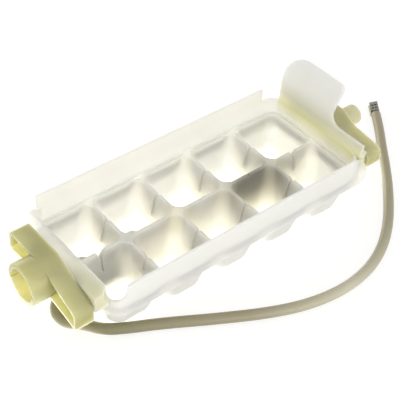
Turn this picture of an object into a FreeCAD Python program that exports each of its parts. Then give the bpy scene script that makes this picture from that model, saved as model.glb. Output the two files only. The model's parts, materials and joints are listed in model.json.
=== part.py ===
import FreeCAD, Part
import os
from math import acos, atan2, cos, degrees, pi, radians, sin, sqrt, tan
from FreeCAD import Vector

# Twist tray of an automatic ice maker. Millimetres, +Z up, +X from the drive end to the idle end,
# +Y towards the tall back flange. The origin is the middle of the drive hub's mouth, and the X axis is
# the line that the tray turns and twists about. The tray rests on the bottoms of its cells.

# Tray moulding
tray_length = 180.0  # over the rim
tray_width = 76.0
tray_wall = 1.6
tray_corner_r = 9.0
axis_below_rim = 6.2  # the twist axis lies this far under the low rim
basin_depth = 9.2  # low rim down to the ledge
ledge_width = 0.9
ledge_step = 1.6  # ledge down to the tops of the dividers
deck_thickness = 1.6
skirt_depth = 20.6  # low rim down to the lower edge of the outer walls

# Cells
cell_columns = 5
cell_rows = 2
divider_thickness = 1.8  # at the top
divider_chamfer = 0.5
cell_depth = 27.6  # tops of the dividers down to the cell floor
cell_draft = 11.0  # degrees
cell_wall = 1.6
cell_top_r = 6.0
cell_bottom_r = 8.0
cell_floor_r = 5.5
sensor_cell_rise = 4.0  # the front cell at the drive end is this much shallower

# Weirs that let water pass from cell to cell
weir_width = 5.0
weir_depth = 2.2
slot_width = 1.2
slot_above_floor = 12.0
web_width = 5.0  # solid web round each slot, between neighbouring cells
ridge_weir_width = 5.2
ridge_weir_depth = 6.5
ridge_slot_depth = 13.0
ridge_nick = 1.6

# Back flange, end wall and flap
flange_height = 9.3
flange_from_drive_end = 4.4
flange_to_drive_end = 167.0
end_wall_rise = 8.2
flap_height = 35.0  # above the low rim
flap_lean = 4.0  # outwards at the top
flap_near_y = -13.7  # at the top
flap_neck = 3.9  # how much further back the near edge starts at its foot
flap_far_y = 33.2
flap_far_r = 18.5
flap_near_r = 3.5
flap_foot_r = 7.0

# Spout cut in the near corner of the drive end
spout_r = 5.4
spout_depth = 9.2
spout_shift = 0.6  # off the corner's diagonal, towards the near side
spout_reach = 7.0  # the cut runs this far each way, in and out of the corner
skirt_rise = 3.0  # the skirt is this much shorter at the drive end
skirt_rise_length = 11.0

# Hollow pads on the end walls, which the yokes are hooked to
pad_reach = 7.7
pad_top_drop = 1.8  # rim down to the pad's outer top edge
pad_bottom_drop = 11.0
pad_near_y = -34.0
pad_far_y = 26.0
pad_wall = 1.6
pad_near_wall = 5.0
ear_reach = 5.0  # the near wall runs past the idle end by this much
ear_shoulder = 10.0
ear_r = 3.0

# Yokes
yoke_depth = 11.3
yoke_seat = 0.3  # clearance between a yoke and its pad
yoke_wall = 1.6
yoke_back = 2.0
far_lug_end = 26.5
far_lug_bottom = -0.3
far_lug_r = 2.5
hub_r = 12.2
hub_reach = 10.2
hub_bore_r = 9.6
hub_bore_depth = 18.0
hub_key_width = 3.6
hub_key_depth = 1.2
edge_chamfer = 0.5
idle_boss_r = 10.4
idle_lug_top = 10.8
pin_r = 6.2
pin_reach = 14.2
tongue_y = 16.0
tongue_width = 8.0
tongue_thickness = 2.4
tongue_z = -0.6
tongue_hook = 1.2
tongue_fit = 0.2

# Sensor under the tray, between the two rows of cells
capsule_r = 2.3
capsule_length = 23.6
capsule_gap = 0.36  # between the capsule's tip and the screw boss
capsule_depth = 29.4  # low rim down to the capsule's axis
sensor_fit = 0.3
boot_length = 7.0
boot_r = 3.2
foam_thickness = 2.2
foam_length = 20.0
foam_width = 5.0
foam_gap = 2.0  # along the tray, from the capsule's front end
saddle_inset = 1.0  # the cover starts this far along the boot
cover_tail = 5.04  # past the solid seat round the boss
screw_seat = 1.0  # solid on either side of the boss
cover_width = 7.0
cover_wall = 1.3
cover_depth = 5.0
saddle_length = 3.6
boss_r = 3.0
screw_r = 1.3
screw_fit = 0.1
screw_head_r = 2.4
screw_head_height = 1.4
screw_length = 9.0

# Lead: each point of its route is (x, y, height of the middle above the table)
lead_r = 3.2
lead_lift = 0.1
table_height = lead_r + lead_lift
lead_straight = 2.9  # straight out of the boot
lead_points = [(23.0, 1.3, 9.6), (16.4, -3.3, 6.7), (16.7, -11.8, 4.8), (22.6, -16.4, 3.9),
               (25.9, -19.6, 3.3), (31.1, -27.4, 3.3), (42.2, -34.3, 3.3), (58.0, -42.3, 3.3),
               (83.3, -57.4, 3.3), (109.6, -71.8, 3.3), (131.3, -80.3, 3.3), (154.1, -84.0, 3.3),
               (175.3, -82.1, 3.3), (194.5, -75.3, 3.3), (213.2, -63.2, 3.3), (230.9, -47.2, 3.3),
               (248.1, -29.1, 3.3), (263.7, -10.5, 3.3), (276.9, 4.3, 3.3)]
lead_end = (285.8, 15.6, 3.3)
wire_r = 0.8
wire_spacing = 2.0
wire_length = 2.4  # bare wires between the sleeve and the connector

# Connector
connector_roll = -17.0  # degrees, as it lies on the table
housing_length = 8.6
housing_width = 5.4
housing_height = 4.8
window_start = 1.5  # two windows over each terminal
window_length = 1.5
window_pitch = 2.9
window_width = 1.3
nose_wall = 0.8
latch_thickness = 1.0
latch_width = 2.4
latch_length = 9.0
latch_from_nose = 1.5
latch_gap = 0.1
terminal_length = 7.0
terminal_width = 1.5
terminal_height = 2.0
terminal_wall = 0.3

# Places worked out from the sizes above
wall_x = hub_reach + yoke_depth + yoke_seat + pad_reach
end_x = wall_x + tray_length
mid_x = wall_x + tray_length / 2
rim_z = axis_below_rim
ledge_z = rim_z - basin_depth
divider_z = ledge_z - ledge_step
floor_z = divider_z - cell_depth
base_z = floor_z - cell_wall
skirt_z = rim_z - skirt_depth
half_width = tray_width / 2
margin = tray_wall + ledge_width
cell_length = (tray_length - 2 * margin - (cell_columns - 1) * divider_thickness) / cell_columns
cell_width = (tray_width - 2 * margin - (cell_rows - 1) * divider_thickness) / cell_rows
pitch_x = cell_length + divider_thickness
pitch_y = cell_width + divider_thickness
draft_slope = tan(radians(cell_draft))


def column_x(i):
    return wall_x + margin + cell_length / 2 + i * pitch_x


def row_y(j):
    return -half_width + margin + cell_width / 2 + j * pitch_y


def box(x0, x1, y0, y1, z0, z1):
    return Part.makeBox(x1 - x0, y1 - y0, z1 - z0, Vector(x0, y0, z0))


def rod(start, direction, length, radius):
    return Part.makeCylinder(radius, length, Vector(*start), Vector(*direction))


def prism(points, direction):
    wire = Part.makePolygon([Vector(*p) for p in points + points[:1]])
    return Part.Face(wire).extrude(Vector(*direction))


def rounded_wire(cx, cy, z, half_x, half_y, r):
    h = r * sin(radians(45))
    edges = []
    corners = [(1, 1), (-1, 1), (-1, -1), (1, -1)]
    for k, (sx, sy) in enumerate(corners):
        ox, oy = cx + sx * (half_x - r), cy + sy * (half_y - r)
        a = (ox + sx * r, oy) if k % 2 == 0 else (ox, oy + sy * r)
        b = (ox, oy + sy * r) if k % 2 == 0 else (ox + sx * r, oy)
        mid = (ox + sx * h, oy + sy * h)
        edges.append(Part.Arc(Vector(*a, z), Vector(*mid, z), Vector(*b, z)).toShape())
        nx, ny = corners[(k + 1) % 4]
        px, py = cx + nx * (half_x - r), cy + ny * (half_y - r)
        c = (px, py + ny * r) if k % 2 == 0 else (px + nx * r, py)
        edges.append(Part.makeLine(Vector(*b, z), Vector(*c, z)))
    return Part.Wire(edges)


def rounded_block(cx, cy, half_x, half_y, r, z0, z1):
    return Part.Face(rounded_wire(cx, cy, z0, half_x, half_y, r)).extrude(Vector(0, 0, z1 - z0))


def cell_solid(cx, cy, bottom, top, grow, chamfer):
    """A drafted, round-cornered cell shape. grow is the wall outside the cavity."""
    half_x, half_y = cell_length / 2 + grow, cell_width / 2 + grow
    shrink = (divider_z - bottom) * draft_slope
    start = divider_z - chamfer
    lead_in = chamfer * draft_slope
    top_r, bottom_r = cell_top_r + grow, cell_bottom_r + grow
    upper = rounded_wire(cx, cy, start, half_x - lead_in, half_y - lead_in, top_r)
    lower = rounded_wire(cx, cy, bottom, half_x - shrink, half_y - shrink, bottom_r)
    solid = Part.makeLoft([upper, lower], True, True)
    rims = [e for e in solid.Edges if max(v.Z for v in e.Vertexes) < bottom + 0.01]
    solid = solid.makeFillet(cell_floor_r + grow, rims)
    if chamfer:
        rise = top - start
        mouth = rounded_wire(cx, cy, top, half_x - lead_in + rise, half_y - lead_in + rise, top_r + rise)
        solid = solid.fuse(Part.makeLoft([upper, mouth], True, True))
    return solid


def cell_bottom(i, j):
    return floor_z + (sensor_cell_rise if (i, j) == (0, 0) else 0)


def tray_walls():
    length, width = tray_length / 2, half_width
    shell = rounded_block(mid_x, 0, length, width, tray_corner_r, skirt_z, rim_z)
    inner_r = tray_corner_r - tray_wall
    basin = rounded_block(mid_x, 0, length - tray_wall, width - tray_wall, inner_r, ledge_z, rim_z + 1)
    well = rounded_block(mid_x, 0, length - margin, width - margin, cell_top_r, divider_z, ledge_z + 1)
    under = rounded_block(mid_x, 0, length - tray_wall, width - tray_wall, inner_r,
                          skirt_z - 1, divider_z - deck_thickness)
    corner = box(wall_x, wall_x + tray_corner_r, half_width - tray_corner_r, half_width, skirt_z, rim_z)
    low_x, low_z = wall_x + skirt_rise_length, skirt_z - 1
    ramp = prism([(low_x, -half_width - 1, skirt_z), (wall_x - 1, -half_width - 1, skirt_z + skirt_rise),
                  (wall_x - 1, -half_width - 1, low_z), (low_x, -half_width - 1, low_z)],
                 (0, tray_width + 2, 0))
    return shell.fuse(corner).cut(basin).cut(well).cut(under).cut(ramp)


def end_ear():
    """The near wall runs on past the rounded corner at the idle end."""
    y0, y1 = -half_width, -half_width + tray_wall
    reach = end_x + ear_reach
    top, low = (end_x - tray_corner_r, rim_z - 0.6), (end_x - tray_corner_r, skirt_z)
    ear = prism([(x, y0, z) for x, z in (top, (end_x, rim_z - 0.6), (reach, rim_z - ear_shoulder),
                                         (reach, skirt_z), low)], (0, y1 - y0, 0))
    edge = [e for e in ear.Edges if all(abs(v.X - reach) < 0.01 and abs(v.Z - skirt_z) < 0.01
                                        for v in e.Vertexes)]
    return ear.makeFillet(ear_r, edge)


def back_flange():
    return box(wall_x + flange_from_drive_end, wall_x + flange_to_drive_end,
               half_width - tray_wall, half_width, ledge_z + 1, rim_z + flange_height)


def idle_wall_and_flap():
    """The raised idle-end wall and the flap above it: one curved sheet cut to its outline."""
    rise = flap_height + basin_depth
    bend_r = (rise ** 2 + flap_lean ** 2) / (2 * flap_lean)
    centre = Vector(end_x + bend_r, 0, ledge_z)
    depth = Vector(0, tray_width, 0)
    sheet = None
    for radius in (bend_r + tray_wall, bend_r):
        top_angle = pi - 1.25 * rise / radius
        arc = Part.Arc(centre + Vector(-radius, 0, 0),
                       centre + Vector(radius * cos((pi + top_angle) / 2), 0, radius * sin((pi + top_angle) / 2)),
                       centre + Vector(radius * cos(top_angle), 0, radius * sin(top_angle))).toShape()
        side = arc.Vertexes[-1].Point + Vector(60, 0, 0)
        foot = Vector(side.x, 0, ledge_z)
        loop = Part.Wire([arc, Part.makeLine(arc.Vertexes[-1].Point, side), Part.makeLine(side, foot),
                          Part.makeLine(foot, arc.Vertexes[0].Point)])
        block = Part.Face(loop).extrude(depth)
        sheet = block if sheet is None else sheet.cut(block)
    sheet.translate(Vector(0, -half_width, 0))
    wall_top, flap_top = rim_z + end_wall_rise, rim_z + flap_height
    near_end = -half_width + 1.0
    far_end = half_width - tray_corner_r + 3.0
    outline = box(end_x - 9, end_x + 40, near_end, far_end, ledge_z, wall_top)
    neck_z = wall_top + flap_foot_r
    neck_y = flap_near_y + flap_neck
    flap = prism([(end_x - 9, flap_far_y, ledge_z), (end_x - 9, flap_far_y, flap_top),
                  (end_x - 9, flap_near_y, flap_top), (end_x - 9, neck_y, neck_z),
                  (end_x - 9, neck_y, ledge_z)], (49, 0, 0))
    for edge_y, radius in ((flap_far_y, flap_far_r), (flap_near_y, flap_near_r)):
        picked = [e for e in flap.Edges if all(abs(v.Z - flap_top) < 0.01 and abs(v.Y - edge_y) < 0.01
                                               for v in e.Vertexes)]
        flap = flap.makeFillet(radius, picked)
    foot = box(end_x - 9, end_x + 40, neck_y - flap_foot_r, neck_y, wall_top, neck_z)
    round_off = rod((end_x - 10, neck_y - flap_foot_r, neck_z), (1, 0, 0), 60, flap_foot_r)
    outline = outline.fuse(flap).fuse(foot.cut(round_off))
    return sheet.common(outline)


def end_pad(root_x, side):
    """Hollow pad outside an end wall, open underneath. side is -1 at the drive end, +1 at the idle end."""
    reach = root_x + side * pad_reach
    root = root_x - side * tray_wall / 2
    bottom = rim_z - pad_bottom_drop
    outer = [(root, rim_z - 0.4), (reach, rim_z - pad_top_drop), (reach, bottom), (root, bottom)]
    face = reach - side * pad_wall
    inner = [(root_x, rim_z - 0.4 - 1.2 * pad_wall), (face, rim_z - pad_top_drop - 1.1 * pad_wall),
             (face, bottom - 1), (root_x, bottom - 1)]
    pad = prism([(x, pad_near_y, z) for x, z in outer], (0, pad_far_y - pad_near_y, 0))
    start = pad_near_y + pad_near_wall
    hollow = prism([(x, start, z) for x, z in inner], (0, pad_far_y - pad_wall - start, 0))
    return pad.cut(hollow)


def weirs(tray):
    """Notches and slots through the dividers and the middle ridge."""
    cuts = []
    for i in range(cell_columns - 1):
        x = (column_x(i) + column_x(i + 1)) / 2
        for j in range(cell_rows):
            y = row_y(j)
            low = max(cell_bottom(i, j), cell_bottom(i + 1, j)) + slot_above_floor
            half = weir_width / 2
            cuts.append(prism([(x - 4, y - half, divider_z), (x - 4, y, divider_z - weir_depth),
                               (x - 4, y + half, divider_z)], (8, 0, 0)))
            cuts.append(box(x - 8, x + 8, y - slot_width / 2, y + slot_width / 2, low, divider_z + 0.5))
    for i in range(cell_columns):
        x = column_x(i)
        at_end = i in (0, cell_columns - 1)
        half = ridge_weir_width / 2 if at_end else ridge_nick / 2
        deep = ridge_weir_depth if at_end else ridge_nick
        cuts.append(prism([(x - half, -4, divider_z), (x, -4, divider_z - deep), (x + half, -4, divider_z)],
                          (0, 8, 0)))
        if at_end:
            cuts.append(box(x - slot_width / 2, x + slot_width / 2, -8, 8,
                            divider_z - ridge_slot_depth, divider_z + 0.5))
    return tray.cut(Part.makeCompound(cuts))


def webs():
    solids = []
    half = web_width / 2
    for i in range(cell_columns - 1):
        x = (column_x(i) + column_x(i + 1)) / 2
        for j in range(cell_rows):
            y = row_y(j)
            low = max(cell_bottom(i, j), cell_bottom(i + 1, j)) + slot_above_floor - cell_wall
            solids.append(box(x - 5.5, x + 5.5, y - half, y + half, low, divider_z - 0.5))
    for i in (0, cell_columns - 1):
        x = column_x(i)
        solids.append(box(x - half, x + half, -3.5, 3.5,
                          divider_z - ridge_slot_depth - cell_wall, divider_z - 0.5))
    return solids


def spout():
    """U-shaped notch, cut diagonally through the rounded corner."""
    inset = tray_corner_r * (1 - sin(radians(45)))
    corner = Vector(wall_x + inset + spout_shift, -half_width + inset - spout_shift,
                    rim_z - spout_depth + spout_r)
    out = Vector(-1, -1, 0).normalize()
    start = corner - out * spout_reach
    round_part = Part.makeCylinder(spout_r, 2 * spout_reach, start, out)
    side = Vector(1, -1, 0).normalize() * spout_r
    above = Vector(0, 0, 2 * spout_depth)
    p = [start - side, start + side, start + side + above, start - side + above]
    slot = Part.Face(Part.makePolygon(p + p[:1])).extrude(out * 2 * spout_reach)
    return round_part.fuse(slot)


def tongue_slots(face_x, side):
    cuts = []
    for y in (-tongue_y, tongue_y):
        x0, x1 = sorted((face_x, face_x - side * 3 * pad_wall))
        cuts.append(box(x0 - 0.5, x1, y - tongue_width / 2 - tongue_fit, y + tongue_width / 2 + tongue_fit,
                        tongue_z - tongue_thickness / 2 - tongue_fit - tongue_hook,
                        tongue_z + tongue_thickness / 2 + tongue_fit))
    return cuts


boss_x = (column_x(0) + column_x(1)) / 2
capsule_z = rim_z - capsule_depth
capsule_x = boss_x - boss_r - capsule_gap - capsule_length
foam_top_z = capsule_z - capsule_r - sensor_fit
cover_top_z = foam_top_z - foam_thickness - sensor_fit
cover_bottom_z = cover_top_z - cover_depth
cover_x = capsule_x - boot_length + saddle_inset
cover_end = boss_x + boss_r + screw_seat + cover_tail
screw_head_z = cover_bottom_z + 0.1
shank_z = screw_head_z + screw_head_height


def ice_tray():
    solids = [back_flange(), idle_wall_and_flap(), end_pad(wall_x, -1), end_pad(end_x, 1), end_ear()]
    cavities = []
    for i in range(cell_columns):
        for j in range(cell_rows):
            bottom = cell_bottom(i, j)
            solids.append(cell_solid(column_x(i), row_y(j), bottom - cell_wall, divider_z, cell_wall, 0))
            cavities.append(cell_solid(column_x(i), row_y(j), bottom, divider_z + 0.2, 0, divider_chamfer))
    solids += webs()
    solids.append(rod((boss_x, 0, cover_top_z + sensor_fit), (0, 0, 1),
                      divider_z - 1 - cover_top_z - sensor_fit, boss_r))
    tray = tray_walls().fuse(solids)
    tray = tray.cut(Part.makeCompound(cavities))
    tray = weirs(tray)
    pilot = rod((boss_x, 0, shank_z), (0, 0, 1), screw_length + 1, screw_r + screw_fit)
    cuts = [spout(), pilot]
    cuts += tongue_slots(wall_x - pad_reach, -1)
    cuts += tongue_slots(end_x + pad_reach, 1)
    return tray.cut(Part.makeCompound(cuts)).removeSplitter()


def tangent_point(radius, y, z):
    """Where a line from (y, z) touches the top of a circle round the axis."""
    reach = sqrt(y ** 2 + z ** 2)
    angle = atan2(z, y) - acos(radius / reach)
    return radius * cos(angle), radius * sin(angle)


# Outlines of the lugs as seen along X, in (y, z) from the axis
def far_lug(top):
    return [(0, far_lug_bottom), (far_lug_end, far_lug_bottom), (far_lug_end, top), (0, top), (-4, 0)]


drive_near_lug = [(0, 0), tangent_point(hub_r, -21.0, 3.6), (-21.0, 3.6), (-30.0, 0.4), (-33.0, -2.4),
                  (-33.0, -11.8), (-23.0, -9.4), (-12.0, -7.4), (0, -7.4)]
idle_near_lug = [(0, idle_lug_top), (-2.6, idle_lug_top), (-11.5, 5.9), (-14.0, 5.1), (-31.1, 3.1),
                 (-34.4, 1.5), (-35.9, -0.9), (-35.9, -6.3), (-20.0, -8.0), (0, -7.4)]


def yoke(side, inner_x, middle_r, lug_top, near_lug):
    """Crossbar with two open-pocket lugs. Its pockets open outwards, away from the tray."""
    span = Vector(side * yoke_depth, 0, 0)
    axis = Vector(side, 0, 0)
    solid = Part.makeCylinder(middle_r, yoke_depth, Vector(inner_x, 0, 0), axis)
    keep = Part.makeCylinder(middle_r, 3 * yoke_depth, Vector(inner_x - side * yoke_depth, 0, 0), axis)
    pockets = []
    for outline in (far_lug(lug_top), near_lug):
        wire = Part.makePolygon([Vector(inner_x, y, z) for y, z in outline + outline[:1]])
        face = Part.Face(wire)
        solid = solid.fuse(face.extrude(span))
        inner = face.makeOffset2D(-yoke_wall, 0, False, False, True)
        inner.translate(Vector(side * yoke_back, 0, 0))
        pockets.append(inner.extrude(span).cut(keep))
    far_edges = [e for e in solid.Edges if len(e.Vertexes) == 2 and
                 all(abs(v.Y - far_lug_end) < 0.01 for v in e.Vertexes) and
                 abs(e.Vertexes[0].X - e.Vertexes[1].X) > yoke_depth / 2]
    solid = solid.makeFillet(far_lug_r, far_edges)
    solid = solid.cut(Part.makeCompound(pockets))
    return solid.fuse(tongues(side, inner_x))


def tongues(side, inner_x):
    """Two hooked tongues that reach through the pad's face."""
    solids = []
    reach = yoke_seat + pad_wall + 1.0
    for y in (-tongue_y, tongue_y):
        y0, y1 = y - tongue_width / 2, y + tongue_width / 2
        low, high = tongue_z - tongue_thickness / 2, tongue_z + tongue_thickness / 2
        tip = inner_x - side * (reach + 1.6)
        barb = inner_x - side * reach
        root = inner_x + side * yoke_back
        profile = [(root, low), (root, high), (tip, high), (tip, low), (barb, low - tongue_hook),
                   (barb, low)]
        solids.append(prism([(x, y0, z) for x, z in profile], (0, y1 - y0, 0)))
        plate_x = sorted((inner_x, root))
        solids.append(box(plate_x[0], plate_x[1], y0, y1, low - 1.0, high + 1.0))
    return solids


def drive_end_yoke():
    inner_x = hub_reach + yoke_depth
    solid = yoke(-1, inner_x, hub_r, hub_r, drive_near_lug)
    hub = Part.makeCylinder(hub_r, hub_reach + 1, Vector(0, 0, 0), Vector(1, 0, 0))
    rim = [e for e in hub.Edges if all(abs(v.X) < 0.01 for v in e.Vertexes) and e.Length < 2.1 * pi * hub_r
           and abs(e.BoundBox.XLength) < 0.01]
    hub = hub.makeChamfer(edge_chamfer, rim)
    solid = solid.fuse(hub)
    solid = solid.cut(rod((-1, 0, 0), (1, 0, 0), hub_bore_depth + 1, hub_bore_r))
    key_r = hub_bore_r + hub_key_depth
    keys = box(-1, hub_bore_depth, -key_r, key_r, -hub_key_width / 2, hub_key_width / 2)
    return solid.cut(keys.common(rod((-1, 0, 0), (1, 0, 0), hub_bore_depth + 1, key_r))).removeSplitter()


def idle_end_yoke():
    inner_x = end_x + pad_reach + yoke_seat
    solid = yoke(1, inner_x, idle_boss_r, idle_lug_top, idle_near_lug)
    pin = rod((inner_x, 0, 0), (1, 0, 0), yoke_depth + pin_reach, pin_r)
    tip_x = inner_x + yoke_depth + pin_reach
    tip = [e for e in pin.Edges if all(abs(v.X - tip_x) < 0.01 for v in e.Vertexes)
           and e.BoundBox.XLength < 0.01]
    pin = pin.makeChamfer(2 * edge_chamfer, tip)
    return solid.fuse(pin).removeSplitter()


def thermistor_capsule():
    body = rod((capsule_x, 0, capsule_z), (1, 0, 0), capsule_length - capsule_r, capsule_r)
    nose = Part.makeSphere(capsule_r, Vector(capsule_x + capsule_length - capsule_r, 0, capsule_z))
    return body.fuse(nose).removeSplitter()


def lead_grommet():
    """Boot between the capsule and the sleeve of the lead."""
    start = capsule_x - boot_length
    cone = Part.makeCone(boot_r, capsule_r, boot_length - 1.5, Vector(start, 0, capsule_z), Vector(1, 0, 0))
    neck = rod((capsule_x - 1.5, 0, capsule_z), (1, 0, 0), 1.5, capsule_r)
    return cone.fuse(neck).removeSplitter()


def insulation_pad():
    x = capsule_x + foam_gap
    return box(x, x + foam_length, -foam_width / 2, foam_width / 2, foam_top_z - foam_thickness, foam_top_z)


def sensor_cover():
    half = cover_width / 2
    end = cover_end
    body = box(cover_x, end, -half, half, cover_bottom_z, cover_top_z)
    trough_half = half - cover_wall
    floor = cover_bottom_z + cover_wall
    top = cover_top_z + 1
    ledge = foam_top_z - foam_thickness - sensor_fit
    body = body.cut(box(cover_x + saddle_length, boss_x - boss_r - screw_seat, -trough_half, trough_half,
                        floor, top))
    body = body.cut(box(boss_x + boss_r + screw_seat, end - cover_wall, -trough_half, trough_half,
                        floor, top))
    body = body.fuse(box(capsule_x + foam_gap, capsule_x + foam_gap + 2, -trough_half, trough_half,
                         floor - 0.2, ledge))
    saddle = box(cover_x, cover_x + saddle_length, -half, half, cover_top_z - 0.5, capsule_z - 1)
    body = body.fuse(saddle)
    body = body.cut(Part.makeCone(boot_r + sensor_fit, capsule_r + sensor_fit, boot_length - 1.5,
                                  Vector(capsule_x - boot_length, 0, capsule_z), Vector(1, 0, 0)))
    body = body.cut(rod((boss_x, 0, cover_bottom_z - 1), (0, 0, 1), cover_depth + 2, screw_r + screw_fit))
    body = body.cut(rod((boss_x, 0, cover_bottom_z - 1), (0, 0, 1), screw_head_height + 1.1,
                        screw_head_r + screw_fit))
    return body.removeSplitter()


def cover_screw():
    head = rod((boss_x, 0, screw_head_z), (0, 0, 1), screw_head_height, screw_head_r)
    cross = [box(boss_x - 1.5, boss_x + 1.5, -0.3, 0.3, screw_head_z - 0.1, screw_head_z + 0.8),
             box(boss_x - 0.3, boss_x + 0.3, -1.5, 1.5, screw_head_z - 0.1, screw_head_z + 0.8)]
    shank = rod((boss_x, 0, shank_z), (0, 0, 1), screw_length, screw_r)
    return head.fuse(shank).cut(Part.makeCompound(cross)).removeSplitter()


def cord_tube(points, radius, title):
    """Round tube along straight runs joined by tangent arcs. Prints its radii and its length."""
    p = [Vector(*q) for q in points]
    edges = []
    last = p[0]
    length = 0.0
    radii = []
    for a, b, c in zip(p, p[1:], p[2:]):
        into, out = (b - a).normalize(), (c - b).normalize()
        turn = into.getAngle(out)
        reach = 0.45 * min((b - a).Length, (c - b).Length)
        bend_r = reach / tan(turn / 2)
        start, end = b - into * reach, b + out * reach
        centre = b + (out - into).normalize() * (bend_r / cos(turn / 2))
        middle = centre + (b - centre).normalize() * bend_r
        edges.append(Part.LineSegment(last, start).toShape())
        edges.append(Part.Arc(start, middle, end).toShape())
        length += (start - last).Length + bend_r * turn
        radii.append(round(bend_r, 1))
        last = end
    edges.append(Part.LineSegment(last, p[-1]).toShape())
    length += (p[-1] - last).Length
    path = Part.Wire(edges)
    section = Part.Wire([Part.makeCircle(radius, p[0], p[1] - p[0])])
    tube = path.makePipeShell([section], True, False)
    print(title, "radii", radii)
    print(title, "length", round(length, 1), "volume", round(tube.Volume, 1),
          "section x length", round(pi * radius ** 2 * length, 1))
    return tube


lead_start = (capsule_x - boot_length, 0, capsule_z)
table_z = base_z
lead_route = [lead_start, (lead_start[0] - lead_straight, 0, capsule_z)]
lead_route += [(x, y, table_z + h) for x, y, h in lead_points + [lead_end]]
tip = Vector(*lead_route[-1])
tip_out = (tip - Vector(*lead_route[-2])).normalize()
tip_side = Vector(-tip_out.y, tip_out.x, 0).normalize()


def turned(shape, along):
    """Carries a shape drawn along +X from the origin to the lead's end."""
    angle = degrees(atan2(tip_out.y, tip_out.x))
    placed = shape.copy()
    placed.rotate(Vector(0, 0, 0), Vector(1, 0, 0), connector_roll)
    placed.rotate(Vector(0, 0, 0), Vector(0, 0, 1), angle)
    placed.translate(tip + tip_out * along)
    return placed


def lead_wires():
    solids = []
    for side in (-1, 1):
        solids.append(rod((0, side * wire_spacing / 2, 0), (1, 0, 0), wire_length, wire_r))
    return turned(Part.makeCompound(solids), 0)


def connector_housing():
    half_w, half_h = housing_width / 2, housing_height / 2
    body = box(0, housing_length, -half_w, half_w, -half_h, half_h)
    cuts = []
    for side in (-1, 1):
        y = side * wire_spacing / 2
        hw, hh = terminal_width / 2 + 0.1, terminal_height / 2 + 0.1
        cuts.append(box(-1, housing_length - nose_wall, y - hw, y + hw, -hh, hh))
        cuts.append(box(housing_length - 1, housing_length + 1, y - 0.5, y + 0.5, -0.6, 0.6))
        for start in (window_start, window_start + window_pitch):
            cuts.append(box(start, start + window_length, y - window_width / 2, y + window_width / 2,
                            0, half_h + 1))
    return turned(body.cut(Part.makeCompound(cuts)), wire_length).removeSplitter()


def connector_terminals():
    solids = []
    for side in (-1, 1):
        y = side * wire_spacing / 2
        hw, hh = terminal_width / 2, terminal_height / 2
        body = box(0.1, terminal_length, y - hw, y + hw, -hh, hh)
        body = body.cut(box(2, terminal_length + 1, y - hw + terminal_wall, y + hw - terminal_wall,
                            -hh + terminal_wall, hh - terminal_wall))
        solids.append(body)
    return turned(Part.makeCompound(solids), wire_length)


def connector_latch():
    """Pale latch along one side of the housing."""
    half_w, t = housing_width / 2, latch_thickness
    y0 = half_w + latch_gap
    end = housing_length - latch_from_nose
    arm = box(end - latch_length, end, y0, y0 + t, -latch_width / 2, latch_width / 2)
    return turned(arm, wire_length)


parts = {"ice_tray": ice_tray(), "drive_end_yoke": drive_end_yoke(), "idle_end_yoke": idle_end_yoke(),
         "thermistor_capsule": thermistor_capsule(), "lead_grommet": lead_grommet(),
         "insulation_pad": insulation_pad(), "sensor_cover": sensor_cover(), "cover_screw": cover_screw(),
         "lead_sleeve": cord_tube(lead_route, lead_r, "lead sleeve"), "lead_wires": lead_wires(),
         "connector_housing": connector_housing(), "connector_terminals": connector_terminals(),
         "connector_latch": connector_latch()}

os.makedirs("parts", exist_ok=True)
for name, shape in parts.items():
    shape.exportStep("parts/" + name + ".step")
    print(name, "solids", len(shape.Solids), "valid", shape.isValid(), "volume", round(shape.Volume, 1))
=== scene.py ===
import bpy
import bmesh
import json
from math import radians, sin, cos, pi
from mathutils import Matrix, Vector


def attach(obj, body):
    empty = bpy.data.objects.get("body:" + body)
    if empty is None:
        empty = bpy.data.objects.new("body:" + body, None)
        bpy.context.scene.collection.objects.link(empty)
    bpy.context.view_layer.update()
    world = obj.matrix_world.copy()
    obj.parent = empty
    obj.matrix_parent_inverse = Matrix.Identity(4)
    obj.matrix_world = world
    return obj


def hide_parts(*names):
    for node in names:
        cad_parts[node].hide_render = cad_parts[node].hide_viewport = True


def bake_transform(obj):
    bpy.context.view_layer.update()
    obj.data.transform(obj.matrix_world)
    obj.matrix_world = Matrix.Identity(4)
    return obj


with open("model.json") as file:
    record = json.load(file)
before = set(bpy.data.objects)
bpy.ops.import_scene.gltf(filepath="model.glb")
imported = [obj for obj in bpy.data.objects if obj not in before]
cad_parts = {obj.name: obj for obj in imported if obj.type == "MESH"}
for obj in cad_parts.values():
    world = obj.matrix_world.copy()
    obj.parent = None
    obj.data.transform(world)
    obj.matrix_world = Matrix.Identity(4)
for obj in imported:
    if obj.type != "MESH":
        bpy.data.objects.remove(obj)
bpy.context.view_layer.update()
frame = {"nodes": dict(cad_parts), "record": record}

mm = 0.001
tableZ = -33.8 * mm    # what the cells stand on
nodes = frame["nodes"]
print("frame loaded:", len(nodes), "nodes")


# camera, worked out from the straight edges in the picture

cameraSettings = {
    "target": (0.10975, -0.00942, 0.0062),
    "azimuth": 227.7,
    "elevation": 42.48,
    "roll": 4.08,
    "distance": 0.5821,
    "lens": 95.2,
    "sensor": 36,
    "nearest": 0.01,    # nothing closer than this is drawn
}

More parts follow.
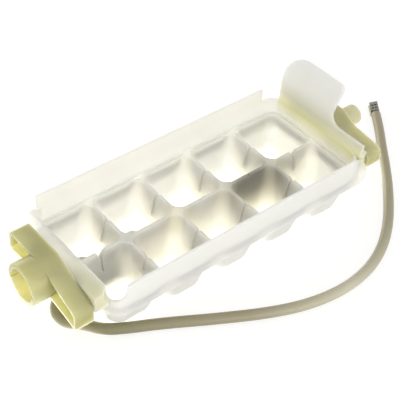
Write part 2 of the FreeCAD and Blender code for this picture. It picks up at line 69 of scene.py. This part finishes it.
def placeCamera(s):
    turn, tilt, roll = (radians(s[k]) for k in ("azimuth", "elevation", "roll"))
    back = Vector((cos(tilt) * cos(turn), cos(tilt) * sin(turn), sin(tilt)))
    right = (-back).cross(Vector((0, 0, 1))).normalized()
    up = right.cross(-back)
    side = right * cos(roll) + up * sin(roll)
    top = up * cos(roll) - right * sin(roll)
    data = bpy.data.cameras.new("studioCamera")
    data.lens = s["lens"]
    data.sensor_width = s["sensor"]
    data.clip_start = s["nearest"]
    camera = bpy.data.objects.new("studioCamera", data)
    bpy.context.scene.collection.objects.link(camera)
    turned = Matrix((side, top, back)).transposed().to_4x4()
    camera.matrix_world = Matrix.Translation(Vector(s["target"]) + back * s["distance"]) @ turned
    bpy.context.scene.camera = camera

placeCamera(cameraSettings)
print("camera placed")


# materials: sizes in millimetres, colours in sRGB hex

def hexColour(code):    # made linear
    parts = [int(code[i:i + 2], 16) / 255 for i in (1, 3, 5)]
    return [c / 12.92 if c <= 0.04045 else ((c + 0.055) / 1.055) ** 2.4 for c in parts] + [1]

def perMetre(size):    # noise scale for a feature of that many millimetres
    return 1 / (size * mm)

def newMaterial(name):
    material = bpy.data.materials.new(name)
    material.use_nodes = True
    tree = material.node_tree
    tree.nodes.clear()
    return material, tree

# a node with its values or links, a colour ramp's stops as (position, colour), and its settings
def addNode(tree, kind, sockets=None, stops=(), **settings):
    made = tree.nodes.new("ShaderNode" + kind)
    for name, value in settings.items():
        setattr(made, name, value)
    for name, value in (sockets or {}).items():
        if isinstance(value, bpy.types.NodeSocket):
            tree.links.new(value, made.inputs[name])
        else:
            made.inputs[name].default_value = value
    if stops:
        ramp = made.color_ramp.elements
        while len(ramp) < len(stops):
            ramp.new(0.5)
        for stop, (position, colour) in zip(ramp, stops):
            stop.position = position
            stop.color = colour
    return made

def driftingTone(tree, place, s):    # slow drifts between two tones
    cloud = addNode(tree, "TexNoise", {"Vector": place, "Scale": perMetre(s["cloudSize"]),
                                       "Detail": s["detail"]})
    stops = [(at, hexColour(code)) for at, code in s["tones"]]
    return addNode(tree, "ValToRGB", {"Fac": cloud.outputs["Fac"]}, stops).outputs["Color"]

# a fine grain varies the gloss and, where the settings say so, the tone and the depth of the surface
def addBody(tree, place, s, sockets):
    grain = addNode(tree, "TexNoise", {"Vector": place, "Scale": perMetre(s["grainSize"]),
                                       "Detail": s["detail"]}).outputs["Fac"]
    if "grainTones" in s:
        stops = [(at, hexColour(code)) for at, code in s["grainTones"]]
        sockets["Base Color"] = addNode(tree, "ValToRGB", {"Fac": grain}, stops).outputs["Color"]
    gloss = addNode(tree, "MapRange", {"Value": grain, "To Min": s["roughness"][0],
                                       "To Max": s["roughness"][1]})
    sockets["Roughness"] = gloss.outputs["Result"]
    if "grainDepth" in s:
        bump = addNode(tree, "Bump", {"Height": grain, "Strength": s["grainStrength"],
                                      "Distance": s["grainDepth"] * mm})
        sockets["Normal"] = bump.outputs["Normal"]
    body = addNode(tree, "BsdfPrincipled", sockets)
    addNode(tree, "OutputMaterial", {"Surface": body.outputs[0]})

def milkySockets(s, colour):    # plastic that light creeps about in
    return {"Base Color": colour, "IOR": s["ior"], "Subsurface Weight": 1.0,
            "Subsurface Scale": s["reach"] * mm, "Subsurface Radius": s["creep"]}

polypropylene = {
    "tones": [(0.3, "#F5F2E4"), (0.7, "#F9F6EA")],    # cloudy and clear
    "cloudSize": 30.0,        # drifts of haze left by the melt
    "detail": 2.0,
    "grainSize": 0.9,         # sparked mould texture, drawn coarser than the real 0.1 mm so that it shows
    "grainDepth": 0.01,
    "grainStrength": 0.15,
    "roughness": (0.34, 0.46),
    "ior": 1.49,
    "reach": 8.0,             # how far light creeps in it, against a wall of 1.6
    "creep": (1.0, 0.98, 0.9),
    # painted light and shade on the idle-end wall: the cream yoke's light seen through it, with a painted
    # shadow band of the yoke's top near 13 mm: height, colour and how strongly
    "wallFrom": 206.4,
    "wallBlend": 1.0,
    "paintedShowThrough": [(-5.0, "#EFECCF", 0.0), (0.0, "#E8E6BE", 0.55), (5.0, "#DEDCA4", 0.8),
                   (9.0, "#D8D7A4", 0.8), (13.0, "#C0C0A2", 0.75), (18.0, "#C9C8B4", 0.55),
                   (27.0, "#E9E8DC", 0.0)],
    # painted shade: soft patches made dimmer: middle, reach, colour and how strongly
    "paintedShadeFull": 0.8,         # a painted shade patch is full from this share of its fade on
    "paintedShadePatches": [
        ((156.0, -5.0, -9.0), (38.0, 24.0, 26.0), "#93918A", 1.0),      # painted shade on the fourth front cell's far wall, for parts guessed under the ridge
        ((101.5, 0.0, -8.0), (16.0, 14.0, 16.0), "#D6D3BF", 0.8),       # painted shade on the ridge between the rows
        ((85.0, 37.0, 13.0), (500.0, 8.0, 15.0), "#EAE6DA", 1.0),       # painted shade on the back flange
        ((24.0, -26.0, 0.0), (13.0, 34.0, 22.0), "#D2CFA8", 0.8),       # painted shade, tinted by the yoke behind, on the pad behind the near lug
    ],
}

def naturalPolypropyleneMoulded(s):    # milky, lets light through, waxy soft highlights
    material, tree = newMaterial("naturalPolypropyleneMoulded")
    place = addNode(tree, "TexCoord").outputs["Object"]
    haze = driftingTone(tree, place, s)
    axes = addNode(tree, "SeparateXYZ", {"Vector": place})
    # painted light and shade: the idle-end wall is tinted by height, as if lit through the yoke behind it
    low, high = s["paintedShowThrough"][0][0], s["paintedShowThrough"][-1][0]
    height = addNode(tree, "MapRange", {"Value": axes.outputs["Z"], "From Min": low * mm,
                                        "From Max": high * mm})
    stops = [((level - low) / (high - low), hexColour(code)[:3] + [strength])
             for level, code, strength in s["paintedShowThrough"]]
    behind = addNode(tree, "ValToRGB", {"Fac": height.outputs["Result"]}, stops)
    atWall = addNode(tree, "MapRange", {"Value": axes.outputs["X"], "From Min": s["wallFrom"] * mm,
                                        "From Max": (s["wallFrom"] + s["wallBlend"]) * mm},
                     interpolation_type="SMOOTHSTEP")
    amount = addNode(tree, "Math", {0: atWall.outputs["Result"], 1: behind.outputs["Alpha"]},
                     operation="MULTIPLY")
    colour = addNode(tree, "Mix", {0: amount.outputs[0], 6: haze, 7: behind.outputs["Color"]},
                     data_type="RGBA").outputs[2]
    # painted shade: each patch darkens the milky tone towards its colour
    for middle, reach, code, strength in s["paintedShadePatches"]:
        near = addNode(tree, "Mapping", {"Vector": place, "Location": [v * mm for v in middle],
                                         "Scale": [v * mm for v in reach]}, vector_type="TEXTURE")
        fade = addNode(tree, "TexGradient", {"Vector": near.outputs[0]}, gradient_type="SPHERICAL")
        amount = addNode(tree, "MapRange", {"Value": fade.outputs["Fac"], "From Max": s["paintedShadeFull"],
                                            "To Max": strength}, interpolation_type="SMOOTHSTEP")
        colour = addNode(tree, "Mix", {0: amount.outputs[0], 6: colour, 7: hexColour(code)},
                         data_type="RGBA").outputs[2]
    addBody(tree, place, s, milkySockets(s, colour))
    return material

nylon = {
    "tones": [(0.32, "#B2AE7C"), (0.68, "#BAB686")],
    "cloudSize": 26.0,
    "detail": 2.0,
    "grainSize": 0.7,
    "grainDepth": 0.015,
    "grainStrength": 0.15,
    "roughness": (0.34, 0.46),
    "ior": 1.53,
    "reach": 10.0,             # how far light creeps in it
    "creep": (1.0, 0.95, 0.7),
    "round": 11.5,             # the bore and the pin lie within this of the axis, and get a painted glow there: a paler tone for light coming through
    "paintedGlow": "#CECAA6",
    "paintedGlowEdge": (0.12, 0.16),    # shares of the way in, between which the painted glow sets in
}

def creamNylonMoulded(s):    # yellowish, glows a little at thin walls and edges
    material, tree = newMaterial("creamNylonMoulded")
    place = addNode(tree, "TexCoord").outputs["Object"]
    haze = driftingTone(tree, place, s)
    # painted light: a paler tone near the axis makes the bore and pin glow
    around = addNode(tree, "Mapping", {"Vector": place, "Scale": (1.0, s["round"] * mm, s["round"] * mm)},
                     vector_type="TEXTURE")
    fade = addNode(tree, "TexGradient", {"Vector": around.outputs[0]}, gradient_type="SPHERICAL")
    amount = addNode(tree, "MapRange", {"Value": fade.outputs["Fac"], "From Min": s["paintedGlowEdge"][0],
                                        "From Max": s["paintedGlowEdge"][1]})
    colour = addNode(tree, "Mix", {0: amount.outputs[0], 6: haze, 7: hexColour(s["paintedGlow"])},
                     data_type="RGBA").outputs[2]
    addBody(tree, place, s, milkySockets(s, colour))
    return material

jacket = {
    # painted light and shade along the tray: the jacket darker near the yoke, paler in the middle
    "tones": [(30.0, "#858060"), (98.0, "#9B9377"), (157.0, "#C7C2AA"), (216.0, "#A19B80"),
              (262.0, "#9F9679")],
    "grainSize": 0.8,
    "detail": 2.0,
    "roughness": (0.34, 0.44),
}

def oliveVinylExtruded(s):    # smooth, with painted light and shade from end to end
    material, tree = newMaterial("oliveVinylExtruded")
    place = addNode(tree, "TexCoord").outputs["Object"]
    axes = addNode(tree, "SeparateXYZ", {"Vector": place})
    # painted light and shade: the tone is set by position along X
    low, high = s["tones"][0][0], s["tones"][-1][0]
    along = addNode(tree, "MapRange", {"Value": axes.outputs["X"], "From Min": low * mm,
                                       "From Max": high * mm})
    stops = [((x - low) / (high - low), hexColour(code)) for x, code in s["tones"]]
    tone = addNode(tree, "ValToRGB", {"Fac": along.outputs["Result"]}, stops)
    addBody(tree, place, s, {"Base Color": tone.outputs["Color"]})
    return material

plainFinishes = {    # slot: material, its two tones, roughness, grain's size and depth, and 1 for a metal
    # dull and slightly rough
    "wire_insulation": ("brownVinylExtruded", ("#6A5636", "#7A6440"), (0.45, 0.6), 0.6, 0.02, 0.0),
    # satin, with a faint texture from the mould
    "connector_dark": ("greyNylonMoulded", ("#85867F", "#93948C"), (0.4, 0.55), 0.8, 0.01, 0.0),
    "connector_pale": ("paleNylonMoulded", ("#CFCAA4", "#DBD7B6"), (0.4, 0.55), 0.8, 0.02, 0.0),
    # soft metal shine: warm, grey and bluish
    "terminal_metal": ("brassTinned", ("#B9AE8C", "#CFC6A8"), (0.25, 0.4), 0.5, 0.01, 1.0),
    "sensor_steel": ("stainlessSteelDrawn", ("#B4B4B2", "#C4C4C2"), (0.25, 0.4), 0.5, 0.01, 1.0),
    "screw_steel": ("steelZincPlated", ("#B0B1B3", "#C6C8CB"), (0.25, 0.4), 0.4, 0.01, 1.0),
    # matte and pitted, as cut cells are
    "foam": ("neopreneFoamCut", ("#2E2E30", "#454548"), (0.85, 0.95), 0.6, 0.2, 0.0),
}
plainGrain = {
    "detail": 3.0,
    "grainStrength": 0.3,
}
tonesAt = (0.35, 0.65)    # where in the grain each tone is full

def plainFinish(name, tones, roughness, grainSize, grainDepth, metallic):
    material, tree = newMaterial(name)
    place = addNode(tree, "TexCoord").outputs["Object"]
    s = {"grainTones": zip(tonesAt, tones), "grainSize": grainSize, "grainDepth": grainDepth,
         "roughness": roughness, **plainGrain}
    addBody(tree, place, s, {"Metallic": metallic})
    return material

finishes = {
    "natural_tray": naturalPolypropyleneMoulded(polypropylene),
    "cream_yoke": creamNylonMoulded(nylon),
    "lead_jacket": oliveVinylExtruded(jacket),
}
for slotName, settings in plainFinishes.items():
    finishes[slotName] = plainFinish(*settings)
nodeSlots = {entry["node"]: entry["material_slot"] for entry in frame["record"]["subparts"]}

def dress(piece, slotName):
    piece.data.materials.clear()
    piece.data.materials.append(finishes[slotName])

for name, piece in nodes.items():
    dress(piece, nodeSlots[name])
print("finishes made:", len(finishes))


# sensor lead: leaves the cover under the tray, folds round and lies in one big curve

leadSettings = {    # in millimetres
    "radius": 3.2,
    "length": 354.1,
    # x, y and the height of its middle above the table
    "route": [(32.5, 0, 10.6), (29.6, 0, 10.6), (23.0, 1.3, 9.6), (16.4, -3.3, 6.7), (16.7, -11.8, 4.8),
              (22.6, -16.4, 3.9), (25.9, -19.6, 3.3), (31.1, -27.4, 3.3), (42.2, -34.3, 3.3),
              (58.0, -42.3, 3.3), (83.3, -57.4, 3.3), (109.6, -71.8, 3.3), (131.3, -80.3, 3.3),
              (154.1, -84.0, 3.3), (175.3, -82.1, 3.3), (194.5, -75.3, 3.3), (213.2, -63.2, 3.3),
              (230.9, -47.2, 3.3), (248.1, -29.1, 3.3), (263.7, -10.5, 3.3), (276.9, 4.3, 3.3),
              (285.8, 15.6, 3.3)],
    "stepsAlong": 10,
    "stepsRound": 8,
}

def onTable(x, y, height):
    return (x * mm, y * mm, tableZ + height * mm)

def layLead(s):
    curve = bpy.data.curves.new("sensorLead", "CURVE")
    curve.dimensions = "3D"
    line = curve.splines.new("NURBS")
    line.points.add(len(s["route"]) - 1)
    for point, place in zip(line.points, s["route"]):
        point.co = (*onTable(*place), 1)
    line.order_u = 3
    line.use_endpoint_u = True
    line.resolution_u = s["stepsAlong"]
    curve.bevel_depth = s["radius"] * mm
    curve.bevel_resolution = s["stepsRound"]
    curve.use_fill_caps = True
    lead = bpy.data.objects.new("sensorLead", curve)
    bpy.context.scene.collection.objects.link(lead)
    return lead

lead = layLead(leadSettings)
dress(lead, "lead_jacket")
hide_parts("lead_sleeve")
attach(lead, "tray")
print("lead laid")


# tray moulding, cut in slices along X

traySettings = {
    "from": 0.0295,     # the slices run between these two X planes, in metres
    "to": 0.2095,
    "slices": 45,
    "crease": 32,       # degrees, past which an edge stays crisp
}
mergeWithin = 1e-6    # metres
cutWithin = 1e-7

def mergedCopy(nodeName, name):
    mesh = nodes[nodeName].data.copy()
    mesh.name = name
    shape = bmesh.new()
    shape.from_mesh(mesh)
    bmesh.ops.remove_doubles(shape, verts=shape.verts, dist=mergeWithin)
    return shape, mesh

def finishCopy(shape, mesh, name, crease):
    for face in shape.faces:
        face.smooth = True
    for edge in shape.edges:
        edge.smooth = edge.calc_face_angle(pi) < radians(crease)
    if "custom_normal" in mesh.attributes:
        mesh.attributes.remove(mesh.attributes["custom_normal"])
    shape.to_mesh(mesh)
    shape.free()
    piece = bpy.data.objects.new(name, mesh)
    bpy.context.scene.collection.objects.link(piece)
    even = piece.modifiers.new("evenNormals", "WEIGHTED_NORMAL")    # flat faces stay flat, edges roll over
    even.keep_sharp = True
    return piece

def makeTray(s):
    shape, mesh = mergedCopy("ice_tray", "trayMoulding")
    step = (s["to"] - s["from"]) / s["slices"]
    for i in range(1, s["slices"]):
        whole = list(shape.verts) + list(shape.edges) + list(shape.faces)
        bmesh.ops.bisect_plane(shape, geom=whole, plane_co=(s["from"] + i * step, 0, 0),
                               plane_no=(1, 0, 0), dist=cutWithin)
    return finishCopy(shape, mesh, "trayMoulding", s["crease"])

tray = makeTray(traySettings)
dress(tray, "natural_tray")
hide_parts("ice_tray")
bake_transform(tray)
print("tray made:", len(tray.data.polygons), "faces")


# yokes

yokeSettings = {    # piece: node, body that carries it, crease in degrees
    "driveEndYoke": ("drive_end_yoke", "tray", 50),
    "idleEndYoke": ("idle_end_yoke", "idle_end", 50),
}

for name, (nodeName, body, crease) in yokeSettings.items():
    shape, mesh = mergedCopy(nodeName, name)
    piece = finishCopy(shape, mesh, name, crease)
    dress(piece, "cream_yoke")
    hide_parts(nodeName)
    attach(piece, body)
print("yokes made")


# floor, backdrop and light

stageSettings = {
    "paper": "#FFFFFF",
    "white": 1.18,      # strength of the plain white that the camera sees in the paper
    "floor": "#F6F5F2",
    "shine": 0.66,      # that white's share; the rest keeps the shadow
    "reach": 3.0,
    "floorBelow": 0.05 * mm,    # clear of the cells' bottoms and under the light table's strips
    "backdropBelow": 0.1,
    "worldLight": 0.68,
    "worldSeen": 1.0,
}

def seenPlainly(tree):    # 1 for what the camera sees, also in metal and glass
    path = addNode(tree, "LightPath")
    seen = addNode(tree, "Math", {0: path.outputs["Is Camera Ray"], 1: path.outputs["Is Glossy Ray"]},
                   operation="MAXIMUM")
    return addNode(tree, "Math", {0: seen.outputs[0], 1: path.outputs["Is Transmission Ray"]},
                   operation="MAXIMUM").outputs[0]

def paperRollPale(s):    # matte paper that fades to white, as a lit studio sweep does
    material, tree = newMaterial("paperRollPale")
    amount = addNode(tree, "Math", {0: seenPlainly(tree), 1: s["shine"]}, operation="MULTIPLY")
    paper = addNode(tree, "BsdfDiffuse", {"Color": hexColour(s["floor"])})
    white = addNode(tree, "Emission", {"Color": hexColour(s["paper"]), "Strength": s["white"]})
    mixed = addNode(tree, "MixShader", {0: amount.outputs[0], 1: paper.outputs[0], 2: white.outputs[0]})
    addNode(tree, "OutputMaterial", {"Surface": mixed.outputs[0]})
    return material

def makeStage(s):
    paper = paperRollPale(s)
    sheets = {    # place, and its turn about X
        "floor": ((0, 0, tableZ - s["floorBelow"]), 0),
        "backdrop": ((0, s["reach"], s["reach"] - s["backdropBelow"]), 90),
    }
    for name, (place, turn) in sheets.items():
        shape = bmesh.new()
        bmesh.ops.create_grid(shape, x_segments=1, y_segments=1, size=s["reach"])
        bmesh.ops.rotate(shape, verts=shape.verts, matrix=Matrix.Rotation(radians(turn), 3, "X"))
        bmesh.ops.translate(shape, verts=shape.verts, vec=place)
        mesh = bpy.data.meshes.new(name)
        shape.to_mesh(mesh)
        shape.free()
        sheet = bpy.data.objects.new(name, mesh)
        bpy.context.scene.collection.objects.link(sheet)
        mesh.materials.append(paper)

makeStage(stageSettings)

stripZ = tableZ - 0.02 * mm    # just under the table's plane, above the floor's sheet
lampSettings = {    # name: place, aim, width, height, watts
    "softLeft": ((-0.8, -0.1, 0.25), (0.11, 0, 0), 0.6, 0.6, 1.0),
    "softBack": ((0.11, 0.9, 0.15), (0.11, 0, 0), 0.6, 0.6, 3.6),
    "softFront": ((0.05, -0.9, 0.12), (0.11, 0, 0), 0.6, 0.6, 3.9),
    # two strips of a light table, one under each row of cells
    "tableBack": ((0.1195, 0.022, stripZ), (0.1195, 0.022, 1), 0.28, 0.042, 0.08),
    "tableFront": ((0.1195, -0.0165, stripZ), (0.1195, -0.0165, 1), 0.28, 0.028, 0.04),
}

def hangLamps(lamps):
    for name, (place, aim, width, height, watts) in lamps.items():
        data = bpy.data.lights.new(name, "AREA")
        data.shape = "RECTANGLE"
        data.size = width
        data.size_y = height
        data.energy = watts
        lamp = bpy.data.objects.new(name, data)
        bpy.context.scene.collection.objects.link(lamp)
        lamp.visible_camera = False
        lamp.location = place
        lamp.rotation_euler = (Vector(place) - Vector(aim)).to_track_quat("Z", "Y").to_euler()

def lightWorld(s):
    world = bpy.data.worlds.new("studio")
    bpy.context.scene.world = world
    world.use_nodes = True
    tree = world.node_tree
    light = addNode(tree, "MapRange", {"Value": seenPlainly(tree), "To Min": s["worldLight"],
                                       "To Max": s["worldSeen"]})
    background = tree.nodes["Background"]
    background.inputs["Color"].default_value = (1, 1, 1, 1)
    tree.links.new(light.outputs["Result"], background.inputs["Strength"])

hangLamps(lampSettings)
lightWorld(stageSettings)
bpy.context.scene.view_settings.view_transform = "Standard"
print("stage lit")
